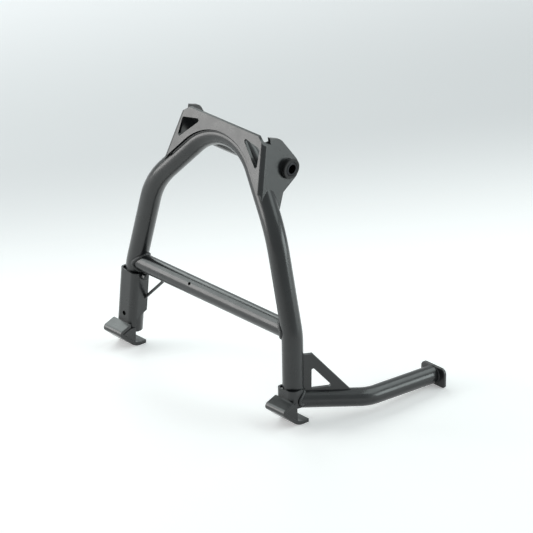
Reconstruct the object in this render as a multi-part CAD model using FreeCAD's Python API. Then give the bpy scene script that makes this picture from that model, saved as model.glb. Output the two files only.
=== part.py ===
import FreeCAD, Part

import math
import os

Vector = FreeCAD.Vector

# Centre stand of a motorcycle, in millimetres, standing free on its two feet and its lever pad.
# X runs across the machine, +Y is the side the lever points to, Z is up.
# A height is measured from the floor, and a setback from the plane of the lower legs.
# A rise or a drop is measured from the centre line of the crown, the top of the bent arch.
# Each finished piece is moved so that the origin is the middle of the pivot bore.

# Pivot of the stand
PIVOT_DROP = 22.0
PIVOT_TUBE_DIAMETER = 24.0
PIVOT_TUBE_WALL = 1.5
PIVOT_SEAT_GAP = 1.3

# Flanged bushes in the ends of the pivot tube
BUSH_LENGTH = 18.0
BUSH_FLANGE_DIAMETER = 26.0
BUSH_FLANGE_THICKNESS = 2.2
BUSH_FLANGE_EDGE = 0.6
BUSH_CHEEK_GAP = 1.5

# Sleeve that turns in the bushes and is clamped by the pivot bolt
SLEEVE_DIAMETER = 18.0
SLEEVE_BORE = 12.2
SLEEVE_LENGTH = 183.0
SLEEVE_CHAMFER = 1.0
SLEEVE_RUNNING_CLEARANCE = 0.05

# Arch tube that forms both legs
LEG_DIAMETER = 27.0
LEG_WALL = 2.5
FOOT_HALF_SPREAD = 154.0
FOOT_FORWARD = 3.5
LEG_END_HEIGHT = 20.0
ANKLE_HALF_SPREAD = 146.8
ANKLE_HEIGHT = 115.0
ANKLE_RADIUS = 80.0
SHOULDER_HALF_SPREAD = 113.0
SHOULDER_HEIGHT = 240.0
SHOULDER_SETBACK = 2.5
SHOULDER_RADIUS = 105.0
CROWN_ABOVE_SHOULDER = 88.0
CROWN_RADIUS = 74.0
CROWN_LEAN = 16.8

# Folded bridge that carries the pivot tube
BRIDGE_SHEET = 4.0
BRIDGE_SEAT_DEPTH = 0.4
BRIDGE_BEND_RADIUS = 6.0
BRIDGE_TOP_RISE = 23.0
BRIDGE_TIP_DROP = 44.0
BRIDGE_EDGE_RISE = 5.0
BRIDGE_HALF_WIDTH_AT_PIVOT = 84.6
BRIDGE_SPLAY = 11.8
BRIDGE_CHAMFER_START = 64.0
BRIDGE_CHAMFER_DROP = 0.75
BRIDGE_CHAMFER_DEPTH = 9.0
WINDOW_CORNERS = ((37.0, 15.5), (71.5, 9.0), (73.5, -18.5))
WINDOW_CORNER_RADIUS = 2.5
CHEEK_EYE_RADIUS = 17.0
CHEEK_TOP_AHEAD = 6.0
CHEEK_TOP_RISE = 16.0
CHEEK_TOP_RADIUS = 16.0
CHEEK_WAIST_AHEAD = 13.9
CHEEK_WAIST_DROP = 49.5
CHEEK_TAIL_AHEAD = 28.9
CHEEK_TAIL_DROP = 79.0

# Crossbar between the legs
CROSSBAR_DIAMETER = 20.0
CROSSBAR_WALL = 2.0
CROSSBAR_HEIGHT = 120.0
DRAIN_HOLE_DIAMETER = 4.5
DRAIN_HOLE_OFFSET = 34.0
DRAIN_HOLE_SLOPE = 35.0

# Folded brackets round the lower legs
BRACKET_SHEET = 2.5
BRACKET_CLEARANCE = 0.2
BRACKET_BEND_RADIUS = 9.0
BRACKET_TOP_LEFT = 106.0
BRACKET_TOP_RIGHT = 45.0
BRACKET_FLANGE_BEHIND_LEG = 8.5
BRACKET_NECK_HEIGHT = 39.0
BRACKET_SHOULDER_HEIGHT = 48.0
BRACKET_NECK_CUT = 16.0
BRACKET_HOLE_DIAMETER = 6.0
BRACKET_HOLE_HEIGHT = 46.0

# Bent rocker soles
SOLE_WIDTH = 34.0
SOLE_THICKNESS = 5.0
SOLE_NOSE_FORWARD = 42.0
SOLE_NOSE_HEIGHT = 26.0
SOLE_NOSE_RADIUS = 5.5
SOLE_RAMP_ANGLE = 20.0
SOLE_HEEL_FORWARD = 11.0
SOLE_HEEL_RADIUS = 26.0
SOLE_TOE_BACK = 7.0

# Spring peg and brace rod on the left leg
PEG_DIAMETER = 8.5
PEG_LENGTH = 8.0
PEG_HEAD_EDGE = 1.2
PEG_HEIGHT = 100.5
PEG_BACK = -3.0
BRACE_DIAMETER = 4.0
BRACE_FOOT_HEIGHT = 66.5
BRACE_TOP_OFFSET = 81.0
BRACE_BACK = 3.5

# Foot lever and its pad
LEVER_DIAMETER = 20.0
LEVER_WALL = 2.2
LEVER_ROOT_HEIGHT = 31.0
LEVER_KNEE_SPREAD = 196.5
LEVER_KNEE_BACK = 85.0
LEVER_KNEE_HEIGHT = 20.5
LEVER_KNEE_RADIUS = 55.0
LEVER_END_BACK = 199.0
LEVER_END_SPREAD = 198.0
LEVER_END_HEIGHT = 14.0
PAD_WIDTH = 42.0
PAD_HEIGHT = 26.0
PAD_THICKNESS = 4.0
PAD_TOP_RADIUS = 7.0
PAD_BOTTOM_RADIUS = 3.0

# Gusset between the right leg and the lever
GUSSET_THICKNESS = 5.0
GUSSET_RISE = 47.5
GUSSET_REACH = 66.0
GUSSET_TOP_WIDTH = 11.0
GUSSET_UPRIGHT_RIM = 9.5
GUSSET_SLANT_RIM = 12.5
GUSSET_TIP_RISE = 5.0
GUSSET_HOLE_RISE = 2.2
GUSSET_CORNER_RADIUS = 2.0

# Size of the weld beads, measured out from the faces that they join
BEAD_SIZE = 2.6
BRIDGE_BEAD_SIZE = 2.0

# Lengths by which cutting tools run past the metal, on small pieces and on the whole stand
PAST = 40.0
FAR = 120.0

LEG_RADIUS = LEG_DIAMETER / 2
ACROSS = Vector(1, 0, 0)
LEAN = math.radians(CROWN_LEAN)
CROWN_HEIGHT = SHOULDER_HEIGHT + CROWN_ABOVE_SHOULDER
PIVOT_HEIGHT = CROWN_HEIGHT - PIVOT_DROP
BRIDGE_TOP_HEIGHT = CROWN_HEIGHT + BRIDGE_TOP_RISE
BRIDGE_TIP_HEIGHT = CROWN_HEIGHT - BRIDGE_TIP_DROP
CHEEK_TAIL_HEIGHT = CROWN_HEIGHT - CHEEK_TAIL_DROP
PIVOT_BEHIND_CROWN = LEG_RADIUS + PIVOT_TUBE_DIAMETER / 2 + PIVOT_SEAT_GAP
PIVOT_RISE = (PIVOT_HEIGHT - SHOULDER_HEIGHT) * math.tan(LEAN)
PIVOT_SETBACK = SHOULDER_SETBACK + PIVOT_RISE + PIVOT_BEHIND_CROWN / math.cos(LEAN)
PIVOT = Vector(0, PIVOT_SETBACK, PIVOT_HEIGHT)
UP_CROWN = Vector(0, math.sin(LEAN), math.cos(LEAN))
OUT_CROWN = Vector(0, -math.cos(LEAN), math.sin(LEAN))


def rounded_edges(points, radii, closed):
    """Straight edges through the points, joined by tangent arcs of the given radii."""
    count = len(points)
    corners = []
    for i, corner in enumerate(points):
        inner = closed or 0 < i < count - 1
        radius = radii[i]
        if not inner or radius == 0:
            corners.append((corner, None, corner))
            continue
        back = (points[i - 1] - corner).normalize()
        ahead = (points[(i + 1) % count] - corner).normalize()
        half = back.getAngle(ahead) / 2
        reach = radius / math.tan(half)
        drop = radius / math.sin(half) - radius
        middle = corner + (back + ahead).normalize() * drop
        corners.append((corner + back * reach, middle, corner + ahead * reach))
    edges = []
    last = count if closed else count - 1
    for i in range(count):
        enter, middle, leave = corners[i]
        if middle is not None:
            edges.append(Part.Arc(enter, middle, leave).toShape())
        if i < last:
            edges.append(Part.LineSegment(leave, corners[(i + 1) % count][0]).toShape())
    return edges


def rounded_path(points, radii):
    """Edges of an open path with a bend radius at each inner point."""
    return rounded_edges(points, [0.0] + list(radii) + [0.0], False)


def rounded_face(points, radii):
    """Flat closed outline with a corner radius at each point."""
    return Part.Face(Part.Wire(rounded_edges(points, radii, True)))


def rod_along(path, radius):
    """Solid round bar that follows a path: a cylinder on each line and a ring part on each arc."""
    lengths = []
    for edge in path:
        start = edge.valueAt(edge.FirstParameter)
        heading = edge.tangentAt(edge.FirstParameter)
        if isinstance(edge.Curve, Part.Circle):
            section = Part.Face(Part.Wire(Part.makeCircle(radius, start, heading)))
            turn = math.degrees(edge.LastParameter - edge.FirstParameter)
            lengths.append(section.revolve(edge.Curve.Center, edge.Curve.Axis, turn))
        else:
            lengths.append(Part.makeCylinder(radius, edge.Length, start, heading))
    return lengths[0].multiFuse(lengths[1:]).Solids[0]


def prism_yz(outline, radii, x_from, x_to):
    """Plate whose outline lies in a Y-Z plane."""
    points = [Vector(x_from, y, z) for y, z in outline]
    return rounded_face(points, radii).extrude(Vector(x_to - x_from, 0, 0))


def prism_xz(outline, radii, y_from, y_to):
    """Plate whose outline lies in an X-Z plane."""
    points = [Vector(x, y_from, z) for x, z in outline]
    return rounded_face(points, radii).extrude(Vector(0, y_to - y_from, 0))


def largest(shape):
    """The biggest solid of a result, without offcuts."""
    return max(shape.Solids, key=lambda solid: solid.Volume)


def mirrored(shape):
    """The same piece on the other side of the machine."""
    return shape.mirror(Vector(0, 0, 0), ACROSS)


# Arch tube

def crown_point(across, along, out):
    """A point in the leaning plane of the crown, measured from the shoulder line."""
    foot = Vector(across, SHOULDER_SETBACK, SHOULDER_HEIGHT)
    return foot + UP_CROWN * along + OUT_CROWN * out


def crown_apex():
    """Distance up the crown's plane at which the two upper leg lines would meet."""
    crown_along = (CROWN_HEIGHT - SHOULDER_HEIGHT) / math.cos(LEAN)
    centre_along = crown_along - CROWN_RADIUS
    reach = math.hypot(SHOULDER_HALF_SPREAD, centre_along)
    tangent = math.acos(CROWN_RADIUS / reach) - math.atan2(centre_along, SHOULDER_HALF_SPREAD)
    return centre_along + CROWN_RADIUS / math.sin(tangent)


def leg_point(height):
    """Centre of the straight lower leg on the right at a height above the floor."""
    share = height / ANKLE_HEIGHT
    spread = FOOT_HALF_SPREAD + (ANKLE_HALF_SPREAD - FOOT_HALF_SPREAD) * share
    return Vector(spread, FOOT_FORWARD * (share - 1), height)


def arch_path():
    """Centre line of the arch, from the left foot over the crown to the right foot."""
    foot = leg_point(LEG_END_HEIGHT)
    ankle = leg_point(ANKLE_HEIGHT)
    shoulder = Vector(SHOULDER_HALF_SPREAD, SHOULDER_SETBACK, SHOULDER_HEIGHT)
    right = [foot, ankle, shoulder]
    left = [Vector(-p.x, p.y, p.z) for p in right]
    points = left + [crown_point(0, crown_apex(), 0)] + right[::-1]
    radii = (ANKLE_RADIUS, SHOULDER_RADIUS, CROWN_RADIUS, SHOULDER_RADIUS, ANKLE_RADIUS)
    return rounded_path(points, radii)


ARCH_PATH = arch_path()
ARCH_ROD = rod_along(ARCH_PATH, LEG_RADIUS)
LEG_BEAD_ROD = rod_along(ARCH_PATH, LEG_RADIUS + BEAD_SIZE)


def arch_tube():
    """Single bent tube that makes both legs and the crown."""
    return ARCH_ROD.cut(rod_along(ARCH_PATH, LEG_RADIUS - LEG_WALL))


# Pivot

def bridge_half_width(height):
    """Outer half width of the bridge at a height above the floor."""
    return BRIDGE_HALF_WIDTH_AT_PIVOT + (PIVOT_HEIGHT - height) * math.tan(math.radians(BRIDGE_SPLAY))


PIVOT_TUBE_END = bridge_half_width(PIVOT_HEIGHT - BUSH_FLANGE_DIAMETER / 2) + BUSH_CHEEK_GAP
PIVOT_TUBE_RADIUS = PIVOT_TUBE_DIAMETER / 2
PIVOT_TUBE_BORE_RADIUS = PIVOT_TUBE_RADIUS - PIVOT_TUBE_WALL


def pivot_rod(radius, half_length):
    """Round bar about the pivot axis, centred on the machine."""
    return Part.makeCylinder(radius, 2 * half_length, PIVOT - ACROSS * half_length, ACROSS)


def pivot_tube():
    """Tube welded through the two cheeks of the bridge."""
    rod = pivot_rod(PIVOT_TUBE_RADIUS, PIVOT_TUBE_END)
    return rod.cut(pivot_rod(PIVOT_TUBE_BORE_RADIUS, PIVOT_TUBE_END + PAST))


def pivot_bush():
    """Flanged bush pressed into the right end of the pivot tube."""
    bore_radius = SLEEVE_DIAMETER / 2 + SLEEVE_RUNNING_CLEARANCE
    outer = PIVOT_TUBE_END + BUSH_FLANGE_THICKNESS
    inner = PIVOT_TUBE_END - BUSH_LENGTH
    flange_radius = BUSH_FLANGE_DIAMETER / 2
    profile = (
        (inner, bore_radius),
        (outer, bore_radius),
        (outer, flange_radius - BUSH_FLANGE_EDGE),
        (outer - BUSH_FLANGE_EDGE, flange_radius),
        (PIVOT_TUBE_END, flange_radius),
        (PIVOT_TUBE_END, PIVOT_TUBE_BORE_RADIUS),
        (inner, PIVOT_TUBE_BORE_RADIUS),
    )
    points = [PIVOT + Vector(x, 0, radius) for x, radius in profile]
    return rounded_face(points, [0.0] * len(points)).revolve(PIVOT, ACROSS, 360)


def pivot_sleeve():
    """Plain sleeve with chamfered ends that the stand swings on."""
    half = SLEEVE_LENGTH / 2
    radius = SLEEVE_DIAMETER / 2
    bore = SLEEVE_BORE / 2
    profile = (
        (-half, bore),
        (-half, radius - SLEEVE_CHAMFER),
        (-half + SLEEVE_CHAMFER, radius),
        (half - SLEEVE_CHAMFER, radius),
        (half, radius - SLEEVE_CHAMFER),
        (half, bore),
    )
    points = [PIVOT + Vector(x, 0, r) for x, r in profile]
    return rounded_face(points, [0.0] * len(points)).revolve(PIVOT, ACROSS, 360)


# Folded bridge

def bridge_front(height, out):
    """Y of a plane parallel to the crown, a distance out of the tube's centre plane."""
    along = (height - SHOULDER_HEIGHT - out * math.sin(LEAN)) / math.cos(LEAN)
    return SHOULDER_SETBACK + along * math.sin(LEAN) - out * math.cos(LEAN)


BRIDGE_REAR_OUT = LEG_RADIUS - BRIDGE_SEAT_DEPTH
BRIDGE_FRONT_OUT = BRIDGE_REAR_OUT + BRIDGE_SHEET


def channel_block(inset):
    """Block between the leaning front and the splayed cheeks, with its two front edges rounded."""
    low = CHEEK_TAIL_HEIGHT - PAST - inset
    high = BRIDGE_TOP_HEIGHT + PAST + inset
    rear = PIVOT_SETBACK + CHEEK_EYE_RADIUS + PAST + inset
    thinner = inset / math.cos(math.radians(BRIDGE_SPLAY))
    wide = bridge_half_width(low) - thinner
    narrow = bridge_half_width(high) - thinner
    sides = ((-wide, low), (wide, low), (narrow, high), (-narrow, high))
    wedge = prism_xz(sides, [0.0] * 4, -FAR, rear)
    out = BRIDGE_FRONT_OUT - inset
    ahead = (
        (bridge_front(low - PAST, out), low - PAST),
        (bridge_front(high + PAST, out), high + PAST),
        (-FAR - PAST, high + PAST),
        (-FAR - PAST, low - PAST),
    )
    block = wedge.cut(prism_yz(ahead, [0.0] * 4, -wide - PAST, wide + PAST))
    upright = [edge for edge in block.Edges if edge.BoundBox.ZLength > PAST]
    bends = [edge for edge in upright if edge.CenterOfMass.y < PIVOT_SETBACK]
    return block.makeFillet(BRIDGE_BEND_RADIUS - inset, bends)


def on_eye(angle):
    """Point of the eye's outline at an angle from the rearward direction."""
    return PIVOT + Vector(0, math.cos(angle), math.sin(angle)) * CHEEK_EYE_RADIUS


def tangent_to_eye(corner, turn):
    """Point where a line from an outline corner meets the round eye behind the pivot."""
    run = corner - PIVOT
    angle = math.atan2(run.z, run.y) + turn * math.acos(CHEEK_EYE_RADIUS / run.Length)
    return on_eye(angle)


def cheek_outline():
    """Side view of the bridge: plate edge, top, round eye and the tail down the leg."""
    top = Vector(0, PIVOT_SETBACK - CHEEK_TOP_AHEAD, CROWN_HEIGHT + CHEEK_TOP_RISE)
    waist = Vector(0, PIVOT_SETBACK - CHEEK_WAIST_AHEAD, CROWN_HEIGHT - CHEEK_WAIST_DROP)
    tail = Vector(0, PIVOT_SETBACK - CHEEK_TAIL_AHEAD, CHEEK_TAIL_HEIGHT)
    upper = tangent_to_eye(top, -1)
    lower = tangent_to_eye(waist, 1)
    front_top = Vector(0, bridge_front(BRIDGE_TOP_HEIGHT, BRIDGE_REAR_OUT), BRIDGE_TOP_HEIGHT)
    corners = [
        lower, waist, tail,
        Vector(0, 0, CHEEK_TAIL_HEIGHT),
        Vector(0, 0, BRIDGE_TIP_HEIGHT),
        Vector(0, -PAST, BRIDGE_TIP_HEIGHT),
        Vector(0, -PAST, BRIDGE_TOP_HEIGHT),
        front_top, top, upper,
    ]
    inner_radii = [0.0] * (len(corners) - 3) + [CHEEK_TOP_RADIUS]
    edges = rounded_path(corners, inner_radii)
    edges.append(Part.Arc(upper, on_eye(0.0), lower).toShape())
    return Part.Face(Part.Wire(edges))


def arch_window():
    """Space under the centre line of the crown, as a cutter through the front plate."""
    span = SHOULDER_HALF_SPREAD
    apex = crown_apex()
    inner_out = BRIDGE_REAR_OUT - BRIDGE_BEND_RADIUS
    rise = BRIDGE_EDGE_RISE * math.hypot(1, apex / span)
    drop = rise - apex
    spread = span * (apex + rise - drop) / apex
    corners = ((-spread, drop), (0, apex + rise), (spread, drop))
    points = [crown_point(across, along, inner_out) for across, along in corners]
    face = rounded_face(points, (0.0, CROWN_RADIUS + BRIDGE_EDGE_RISE, 0.0))
    return face.extrude(OUT_CROWN * PAST)


def plate_windows():
    """The two three-sided holes in the front plate, as cutters."""
    behind = bridge_front(BRIDGE_TOP_HEIGHT, BRIDGE_REAR_OUT) + BRIDGE_SHEET
    corners = [(across, CROWN_HEIGHT + rise) for across, rise in WINDOW_CORNERS]
    hole = prism_xz(corners, [WINDOW_CORNER_RADIUS] * 3, -PAST, behind)
    return [hole, mirrored(hole)]


def corner_chamfers():
    """Sloping cuts across the top corners of the front plate, as cutters."""
    out = BRIDGE_CHAMFER_START + PAST
    top = BRIDGE_TOP_HEIGHT
    outline = (
        (BRIDGE_CHAMFER_START, top),
        (out, top - BRIDGE_CHAMFER_DROP * PAST),
        (out, top + PAST),
        (BRIDGE_CHAMFER_START, top + PAST),
    )
    behind = bridge_front(top, BRIDGE_FRONT_OUT) + BRIDGE_CHAMFER_DEPTH
    cut = prism_xz(outline, [0.0] * 4, -PAST, behind)
    return [cut, mirrored(cut)]


def bridge_blank():
    """Folded channel trimmed to its outline, before the tubes are fitted."""
    channel = channel_block(0.0).cut(channel_block(BRIDGE_SHEET))
    half = bridge_half_width(CHEEK_TAIL_HEIGHT - PAST)
    outline = cheek_outline()
    outline.translate(Vector(-half, 0, 0))
    blank = channel.common(outline.extrude(Vector(2 * half, 0, 0)))
    return blank.cut([arch_window()] + plate_windows() + corner_chamfers())


BRIDGE_BLANK = bridge_blank()


def bridge_plate():
    """Folded bridge: front plate with its windows and the two cheeks."""
    tube = pivot_rod(PIVOT_TUBE_RADIUS, PIVOT_TUBE_END + PAST)
    return largest(BRIDGE_BLANK.cut([ARCH_ROD, tube]))


# Crossbar

def leg_half_spread(height):
    """Half spread of the legs between ankle and shoulder at a height."""
    share = (height - ANKLE_HEIGHT) / (SHOULDER_HEIGHT - ANKLE_HEIGHT)
    return ANKLE_HALF_SPREAD + (SHOULDER_HALF_SPREAD - ANKLE_HALF_SPREAD) * share


CROSSBAR_HALF = leg_half_spread(CROSSBAR_HEIGHT)
CROSSBAR_RADIUS = CROSSBAR_DIAMETER / 2


def crossbar_rod(radius):
    """Round bar from leg centre to leg centre."""
    start = Vector(-CROSSBAR_HALF, 0, CROSSBAR_HEIGHT)
    return Part.makeCylinder(radius, 2 * CROSSBAR_HALF, start, ACROSS)


def crossbar():
    """Tube coped to both legs with a bead round each end, and a drain hole low on its front."""
    slope = math.radians(DRAIN_HOLE_SLOPE)
    aim = Vector(0, -math.cos(slope), -math.sin(slope))
    start = Vector(-DRAIN_HOLE_OFFSET, 0, CROSSBAR_HEIGHT)
    hole = Part.makeCylinder(DRAIN_HOLE_DIAMETER / 2, CROSSBAR_DIAMETER, start, aim)
    bore = crossbar_rod(CROSSBAR_RADIUS - CROSSBAR_WALL)
    bead = crossbar_rod(CROSSBAR_RADIUS + BEAD_SIZE).common(LEG_BEAD_ROD)
    return largest(crossbar_rod(CROSSBAR_RADIUS).fuse(bead.Solids).cut([ARCH_ROD, bore, hole]))


# Feet

BRACKET_INNER = LEG_RADIUS + BRACKET_CLEARANCE
BRACKET_OUTER = BRACKET_INNER + BRACKET_SHEET
LEG_UP = (leg_point(ANKLE_HEIGHT) - leg_point(0)).normalize()
LEG_AHEAD = LEG_UP.cross(ACROSS).normalize() * -1
LEG_SIDE = LEG_UP.cross(LEG_AHEAD)


def web_front(height):
    """Y of the front face of the bracket's web at a height above the floor."""
    return leg_point(height).y + BRACKET_OUTER / LEG_AHEAD.y


def sole_corners(inset):
    """Ramp top, nose, heel and toe of the sole's side view, moved into the bend."""
    ramp = math.radians(SOLE_RAMP_ANGLE)
    uphill = Vector(0, math.cos(ramp), math.sin(ramp))
    nose = Vector(0, -SOLE_NOSE_FORWARD, SOLE_NOSE_HEIGHT)
    heel = Vector(0, -SOLE_HEEL_FORWARD, 0)
    top = nose + uphill * ((web_front(SOLE_NOSE_HEIGHT) + SOLE_NOSE_FORWARD + SOLE_THICKNESS) / uphill.y)
    downhill = (heel - nose).normalize()
    rearward = Vector(0, 1, 0)
    half_fold = uphill.getAngle(downhill) / 2
    half_heel = (math.pi - rearward.getAngle(downhill)) / 2
    return [
        top + Vector(0, uphill.z, -uphill.y) * inset,
        nose + (uphill + downhill).normalize() * (inset / math.sin(half_fold)),
        heel + (rearward - downhill).normalize() * (inset / math.sin(half_heel)),
        Vector(0, SOLE_TOE_BACK, inset),
    ]


def sole_edges(inset):
    """Ramp, rounded nose, slope, rounded heel and flat toe as joined edges."""
    return rounded_path(sole_corners(inset), (SOLE_NOSE_RADIUS - inset, SOLE_HEEL_RADIUS - inset))


def sole_face():
    """Side view of the bent strip."""
    outer = sole_corners(0.0)
    inner = sole_corners(SOLE_THICKNESS)
    toe_end = Part.LineSegment(outer[-1], inner[-1]).toShape()
    ramp_end = Part.LineSegment(inner[0], outer[0]).toShape()
    edges = sole_edges(0.0) + [toe_end] + sole_edges(SOLE_THICKNESS)[::-1] + [ramp_end]
    return Part.Face(Part.Wire(edges))


def web_prism(low, high):
    """Broad block from the web's front face rearwards, as a cutter."""
    corners = ((web_front(low), low), (PAST, low), (PAST, high), (web_front(high), high))
    return prism_yz(corners, [0.0] * 4, 0.0, 2 * FOOT_HALF_SPREAD)


def web_foot():
    """Height at which the inner face of the ramp meets the front of the web."""
    top = sole_corners(SOLE_THICKNESS)[0]
    front = web_front(SOLE_NOSE_HEIGHT)
    return top.z - (top.y - front) * math.tan(math.radians(SOLE_RAMP_ANGLE))


def rocker_sole():
    """Bent strip of the right foot: ramp, rounded nose, slope, heel and flat toe."""
    strip = sole_face().extrude(Vector(SOLE_WIDTH, 0, 0))
    strip.translate(Vector(FOOT_HALF_SPREAD - SOLE_WIDTH / 2, 0, 0))
    return largest(strip.cut(web_prism(SOLE_NOSE_HEIGHT, BRACKET_TOP_LEFT)))


def foot_hollow():
    """Room between the ramp, the slope and the toe, which the flanges fill."""
    corners = sole_corners(SOLE_THICKNESS)
    top = corners[0]
    tip = corners[-1]
    closing = [tip, Vector(0, PAST, tip.z), Vector(0, PAST, top.z), top]
    edges = sole_edges(SOLE_THICKNESS) + rounded_path(closing, (0.0, 0.0))
    return Part.Face(Part.Wire(edges)).extrude(Vector(2 * FOOT_HALF_SPREAD, 0, 0))


def around_leg(height, corners):
    """Points square to the lower leg at a height, given sideways and forwards of its centre."""
    axis = leg_point(height)
    return [axis + LEG_SIDE * x + LEG_AHEAD * y for x, y in corners]


def channel_round_leg(low, high):
    """Channel that hugs the lower leg, open to the rear."""
    inner = BRACKET_INNER
    outer = BRACKET_OUTER
    rear = -BRACKET_FLANGE_BEHIND_LEG
    bend = BRACKET_BEND_RADIUS
    bend_inside = bend - BRACKET_SHEET
    corners = (
        (-outer, rear), (-outer, outer), (outer, outer), (outer, rear),
        (inner, rear), (inner, inner), (-inner, inner), (-inner, rear),
    )
    radii = (0.0, bend, bend, 0.0, 0.0, bend_inside, bend_inside, 0.0)
    return rounded_face(around_leg(low, corners), radii).extrude(leg_point(high) - leg_point(low))


def flange_plates(low, high):
    """Flat lower parts of the two flanges, which run forward under the ramp."""
    rear = -BRACKET_FLANGE_BEHIND_LEG
    plates = []
    for near, far in ((-BRACKET_OUTER, -BRACKET_INNER), (BRACKET_INNER, BRACKET_OUTER)):
        corners = around_leg(low, ((near, PAST), (far, PAST), (far, rear), (near, rear)))
        plates.append(rounded_face(corners, [0.0] * 4).extrude(leg_point(high) - leg_point(low)))
    return plates


def neck_cut():
    """Step cut out of the lower rear corner of the flanges, as a cutter."""
    rear = leg_point(0).y + BRACKET_FLANGE_BEHIND_LEG - BRACKET_NECK_CUT
    back = rear + BRACKET_NECK_CUT + PAST
    rise = BRACKET_SHOULDER_HEIGHT - BRACKET_NECK_HEIGHT
    outline = (
        (rear, 0.0), (back, 0.0),
        (back, BRACKET_NECK_HEIGHT + rise * (back - rear) / BRACKET_NECK_CUT),
        (rear, BRACKET_NECK_HEIGHT),
    )
    return prism_yz(outline, (0.0, 0.0, 0.0, 0.0), 0.0, 2 * FOOT_HALF_SPREAD)


def foot_bracket(top, with_hole):
    """Right foot bracket: channel round the leg and flanges down to the sole."""
    foot = web_foot()
    channel = channel_round_leg(foot, top)
    lower = [plate.common(foot_hollow()) for plate in flange_plates(SOLE_THICKNESS / 2, foot)]
    body = channel.fuse(lower).removeSplitter()
    tools = [neck_cut(), ARCH_ROD]
    if with_hole:
        axis = leg_point(BRACKET_HOLE_HEIGHT)
        start = axis - Vector(0, PAST, 0)
        tools.append(Part.makeCylinder(BRACKET_HOLE_DIAMETER / 2, PAST, start, Vector(0, 1, 0)))
    return largest(body.cut(tools))


# Spring peg and brace rod

def inner_flange_face(height):
    """X of the inner flange's outer face on the left foot."""
    return BRACKET_OUTER - leg_point(height).x


def spring_peg(bracket):
    """Short round peg on the inner flange of the left bracket."""
    start = Vector(inner_flange_face(PEG_HEIGHT) - BRACKET_SHEET / 2, PEG_BACK, PEG_HEIGHT)
    peg = Part.makeCylinder(PEG_DIAMETER / 2, PEG_LENGTH + BRACKET_SHEET / 2, start, ACROSS)
    head = max(peg.Edges, key=lambda edge: edge.CenterOfMass.x)
    return largest(peg.makeFillet(PEG_HEAD_EDGE, [head]).cut(bracket))


def brace_rod(bracket):
    """Thin rod from the left bracket up to the underside of the crossbar."""
    foot_x = inner_flange_face(BRACE_FOOT_HEIGHT) - BRACKET_SHEET / 2
    start = Vector(foot_x, BRACE_BACK, BRACE_FOOT_HEIGHT)
    end = Vector(-BRACE_TOP_OFFSET, BRACE_BACK, CROSSBAR_HEIGHT)
    run = end - start
    rod = Part.makeCylinder(BRACE_DIAMETER / 2, run.Length, start, run)
    return largest(rod.cut([bracket, crossbar_rod(CROSSBAR_RADIUS)]))


# Lever

def lever_root():
    """Start of the lever, inside the right leg."""
    return leg_point(LEVER_ROOT_HEIGHT)


LEVER_KNEE = Vector(LEVER_KNEE_SPREAD, LEVER_KNEE_BACK, LEVER_KNEE_HEIGHT)
LEVER_END = Vector(LEVER_END_SPREAD, LEVER_END_BACK, LEVER_END_HEIGHT)
LEVER_PATH = rounded_path([lever_root(), LEVER_KNEE, LEVER_END], (LEVER_KNEE_RADIUS,))
LEVER_RADIUS = LEVER_DIAMETER / 2
LEVER_ROD = rod_along(LEVER_PATH, LEVER_RADIUS)
PAD_FACE_BACK = LEVER_END_BACK - PAD_THICKNESS / 2


def pad_block(front, depth):
    """Broad upright block across the end of the lever."""
    block = Part.makeBox(2 * PAD_WIDTH, depth, PAD_HEIGHT + 2 * PAST)
    block.translate(Vector(LEVER_END_SPREAD - PAD_WIDTH, front, -PAST))
    return block


def lever_tube(bracket):
    """Bent tube of the foot lever, coped to the leg's rear."""
    bore = rod_along(LEVER_PATH, LEVER_RADIUS - LEVER_WALL)
    return largest(LEVER_ROD.cut([bore, ARCH_ROD, bracket, pad_block(PAD_FACE_BACK, PAST)]))


def lever_pad():
    """Upright end plate with rounded corners, resting on the floor."""
    inner = LEVER_END_SPREAD - PAD_WIDTH / 2
    outer = LEVER_END_SPREAD + PAD_WIDTH / 2
    outline = ((inner, 0), (outer, 0), (outer, PAD_HEIGHT), (inner, PAD_HEIGHT))
    radii = (PAD_BOTTOM_RADIUS, PAD_BOTTOM_RADIUS, PAD_TOP_RADIUS, PAD_TOP_RADIUS)
    return prism_xz(outline, radii, PAD_FACE_BACK, PAD_FACE_BACK + PAD_THICKNESS)


def lever_gusset(bracket):
    """Upright three-sided plate with a hole, between the leg and the lever."""
    root = lever_root()
    level = Vector(LEVER_KNEE.x - root.x, LEVER_KNEE.y - root.y, 0)
    drop = (LEVER_KNEE.z - root.z) / level.Length
    heading = level.normalize()
    side = heading.cross(Vector(0, 0, 1))
    base = root - side * (GUSSET_THICKNESS / 2)
    top = root.z + LEVER_RADIUS + GUSSET_RISE
    top_end = LEG_RADIUS + GUSSET_TOP_WIDTH
    reach = LEG_RADIUS + GUSSET_REACH
    lever_height = root.z + drop * reach
    tip = lever_height + GUSSET_TIP_RISE
    outline = ((0, root.z), (0, top), (top_end, top), (reach, tip), (reach, lever_height))
    radii = (0.0, 0.0, GUSSET_CORNER_RADIUS, 0.0, 0.0)

    def place(s, z):
        return Vector(base.x + heading.x * s, base.y + heading.y * s, z)

    plate = rounded_face([place(s, z) for s, z in outline], radii).extrude(side * GUSSET_THICKNESS)
    slope = (top - tip) / (reach - top_end)
    slant = GUSSET_SLANT_RIM * math.hypot(1, slope)
    near = LEG_RADIUS + GUSSET_UPRIGHT_RIM
    floor = root.z + drop * near + LEVER_RADIUS + GUSSET_HOLE_RISE
    peak = top - slant - slope * (near - top_end)
    far = near + (peak - floor) / slope
    hole_points = [place(s, z) for s, z in ((near, floor), (near, peak), (far, floor))]
    hole = rounded_face(hole_points, [GUSSET_CORNER_RADIUS] * 3).extrude(side * GUSSET_THICKNESS)
    return largest(plate.cut([hole, ARCH_ROD, LEVER_ROD, bracket]))


# Weld beads

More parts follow.
